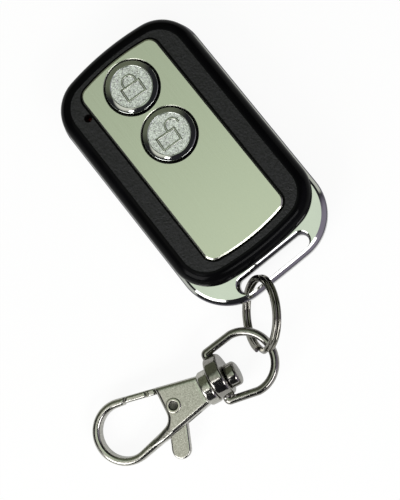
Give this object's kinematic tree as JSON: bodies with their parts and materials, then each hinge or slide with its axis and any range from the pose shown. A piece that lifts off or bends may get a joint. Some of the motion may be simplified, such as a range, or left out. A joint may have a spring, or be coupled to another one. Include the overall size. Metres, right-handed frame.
{
  "type": "alarm key fob",
  "caption": "Hand-held alarm remote with a chrome waist frame, satin face plate, lock and unlock push buttons, a split key ring and a swivelling spring-gate clasp.",
  "frame": {"origin": "centre of the fob's flat rear face, on the table", "axes": "+Z out of the front face, +Y towards the fob's top end, -Y towards the key-ring slot, +X to the right seen from the front"},
  "size_m": [0.0701, 0.0771, 0.0146],
  "materials": {
    "shell_black": "black moulded plastic, glossy rolled edge",
    "frame_chrome": "bright chrome plating",
    "plate_satin": "satin brushed metal",
    "film_pale": "double-sided adhesive film",
    "button_silver": "polished bevel with a glittering field",
    "switch_black": "moulded switch housing",
    "plunger_red": "moulded plunger",
    "board_green": "solder mask on glass laminate",
    "led_red": "tinted clear plastic",
    "chip_black": "moulded chip package",
    "can_nickel": "nickel-plated can",
    "passives_tan": "ceramic chips",
    "aerial_copper": "bare copper wire",
    "cell_steel": "nickel-plated steel can",
    "contact_nickel": "nickel-plated spring strip",
    "screw_steel": "dark zinc-plated steel",
    "ring_nickel": "bright nickel-plated steel",
    "clasp_nickel": "satin nickel-plated casting",
    "rivet_nickel": "bright nickel-plated steel",
    "spring_steel": "plain spring wire"
  },
  "bodies": {
    "fob": {"rear_shell": "shell_black", "middle_frame": "frame_chrome", "front_shell": "shell_black", "plate_adhesive": "film_pale", "face_plate": "plate_satin", "lock_switch": "switch_black", "unlock_switch": "switch_black", "circuit_board": "board_green", "status_led": "led_red", "encoder_chip": "chip_black", "saw_resonator": "can_nickel", "rf_transistor": "chip_black", "chip_components": "passives_tan", "antenna_loop": "aerial_copper", "coin_cell": "cell_steel", "battery_clip": "contact_nickel", "battery_contact": "contact_nickel", "case_screws": "screw_steel"},
    "lock_button": {"lock_button": "button_silver", "lock_plunger": "plunger_red"},
    "unlock_button": {"unlock_button": "button_silver", "unlock_plunger": "plunger_red"},
    "ring": {"split_ring": "ring_nickel"},
    "eye": {"swivel_eye": "clasp_nickel"},
    "clasp": {"clasp_body": "clasp_nickel", "swivel_rivet": "rivet_nickel", "gate_pin": "rivet_nickel", "gate_spring": "spring_steel"},
    "gate": {"clasp_gate": "clasp_nickel"}
  },
  "joints": [
    {"name": "lock_button_press", "type": "slide", "parent": "fob", "child": "lock_button", "axis": [0, 0, -1], "range_m": [0, 0.00025], "stiffness_N_per_m": 1500, "springref_m": -0.0003},
    {"name": "unlock_button_press", "type": "slide", "parent": "fob", "child": "unlock_button", "axis": [0, 0, -1], "range_m": [0, 0.00025], "stiffness_N_per_m": 1500, "springref_m": -0.0003},
    {"name": "ring_swing", "type": "hinge", "parent": "fob", "child": "ring", "pos_m": [0, -0.0326, 0.0053], "axis": [1, 0, 0], "range_deg": [-30, 0]},
    {"name": "eye_swing", "type": "hinge", "parent": "ring", "child": "eye", "pos_m": [-0.0125, -0.04218, 0.00736], "axis": [0.422, -0.2847, 0.8607], "range_deg": [-45, 45]},
    {"name": "clasp_swivel", "type": "hinge", "parent": "eye", "child": "clasp", "pos_m": [-0.03388, -0.03933, 0.00364], "axis": [0.9781, -0.1848, 0.0958], "continuous": true},
    {"name": "gate_open", "type": "hinge", "parent": "clasp", "child": "gate", "pos_m": [-0.03388, -0.03933, 0.00364], "axis": [-0.0942, 0.0178, 0.9954], "range_deg": [0, 28], "stiffness_Nm_per_rad": 0.02, "springref_deg": -11.46, "deforming": ["gate_spring"]}
  ]
}
